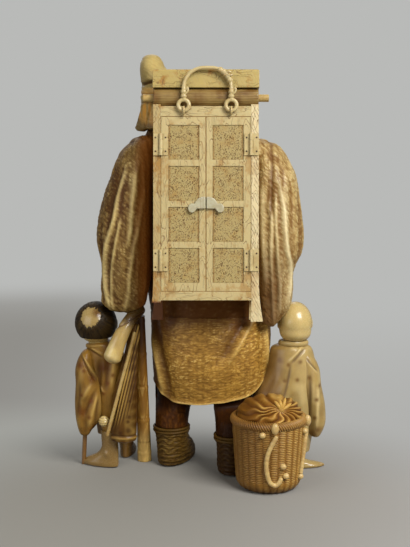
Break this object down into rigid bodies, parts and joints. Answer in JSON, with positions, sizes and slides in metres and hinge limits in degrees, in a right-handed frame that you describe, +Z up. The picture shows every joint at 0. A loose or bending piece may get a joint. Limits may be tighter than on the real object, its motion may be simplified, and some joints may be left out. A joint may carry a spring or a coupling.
{
  "type": "okimono carving",
  "caption": "Carved table ornament of a hooded pedlar seen from behind with a panelled cabinet on the back, children at both sides, a staff and a lidded basket.",
  "frame": {"origin": "on the table under the middle of the whole group", "axes": "+Z up, +Y the way the pedlar faces, so that the cabinet's doors face -Y, +X to the right as seen from behind the pedlar"},
  "size_m": [0.1081, 0.0766, 0.1765],
  "materials": {
    "cabinet_frame": "polished ivory-coloured tooth, pale cream",
    "door_panels": "polished, stippled with brown dots",
    "fittings": "polished, pale",
    "nails": "dark stained heads",
    "lock_plate": "polished, whiter than the rest",
    "rolled_mat": "stained golden brown",
    "coat": "hair lines cut in and stained brown, ridges rubbed pale",
    "boots": "dark brown stain with straw lines",
    "skin": "smooth polished",
    "hair": "near-black stain, fine cut lines",
    "robes": "smooth with brown spots and mottled stain",
    "sticks": "smooth polished, golden",
    "basket": "woven relief, stained golden brown",
    "bundle": "cut folds, stained brown in the hollows"
  },
  "bodies": {
    "carving": {"basket_body": "basket", "basket_bundle": "bundle", "basket_rim": "basket", "basket_ties": "bundle", "boot_ties": "boots", "case_hinge_leaves": "fittings", "case_hinge_nails": "nails", "case_rails": "cabinet_frame", "case_shell": "cabinet_frame", "coat_skirt": "coat", "coat_trunk": "coat", "front_left_post": "cabinet_frame", "front_right_post": "cabinet_frame", "handle_staples": "fittings", "hinge_pins": "fittings", "hood": "skin", "joining_pegs": "sticks", "left_boot": "boots", "left_boy_cane": "sticks", "left_boy_drape": "robes", "left_boy_feet": "skin", "left_boy_fist": "skin", "left_boy_hair": "hair", "left_boy_head": "skin", "left_boy_robe": "robes", "left_boy_sleeve": "robes", "left_hand": "skin", "left_leg": "boots", "left_sleeve": "coat", "lid_box": "cabinet_frame", "lid_support": "cabinet_frame", "mat_rod": "rolled_mat", "pedlar_head": "skin", "rear_posts": "cabinet_frame", "right_boot": "boots", "right_boy_ears": "skin", "right_boy_feet": "skin", "right_boy_head": "skin", "right_boy_robe": "robes", "right_boy_sleeve": "robes", "right_hand": "skin", "right_leg": "boots", "right_sleeve": "coat", "rolled_mat": "rolled_mat", "staff": "sticks", "staff_crook": "sticks", "switch_stick": "sticks"},
    "left_door": {"left_door": "cabinet_frame", "left_door_panels": "door_panels", "left_door_hinge_leaves": "fittings", "left_door_nails": "nails", "left_latch_half": "lock_plate"},
    "right_door": {"right_door": "cabinet_frame", "right_door_panels": "door_panels", "right_door_hinge_leaves": "fittings", "right_door_nails": "nails", "right_latch_half": "lock_plate"},
    "handle": {"handle_bail": "fittings", "handle_rings": "fittings", "handle_bindings": "fittings"}
  },
  "joints": [
    {"name": "right_door_hinge", "type": "hinge", "parent": "carving", "child": "right_door", "pos_m": [0.02053, -0.01843, 0.11621], "axis": [0, 0.1392, 0.9903], "range_deg": [0, 110]},
    {"name": "left_door_hinge", "type": "hinge", "parent": "carving", "child": "left_door", "pos_m": [-0.01553, -0.01843, 0.11621], "axis": [0, -0.1392, -0.9903], "range_deg": [0, 110]},
    {"name": "handle_swing", "type": "hinge", "parent": "carving", "child": "handle", "pos_m": [0.0031, -0.01367, 0.15245], "axis": [1, 0, 0], "range_deg": [0, 168]}
  ]
}
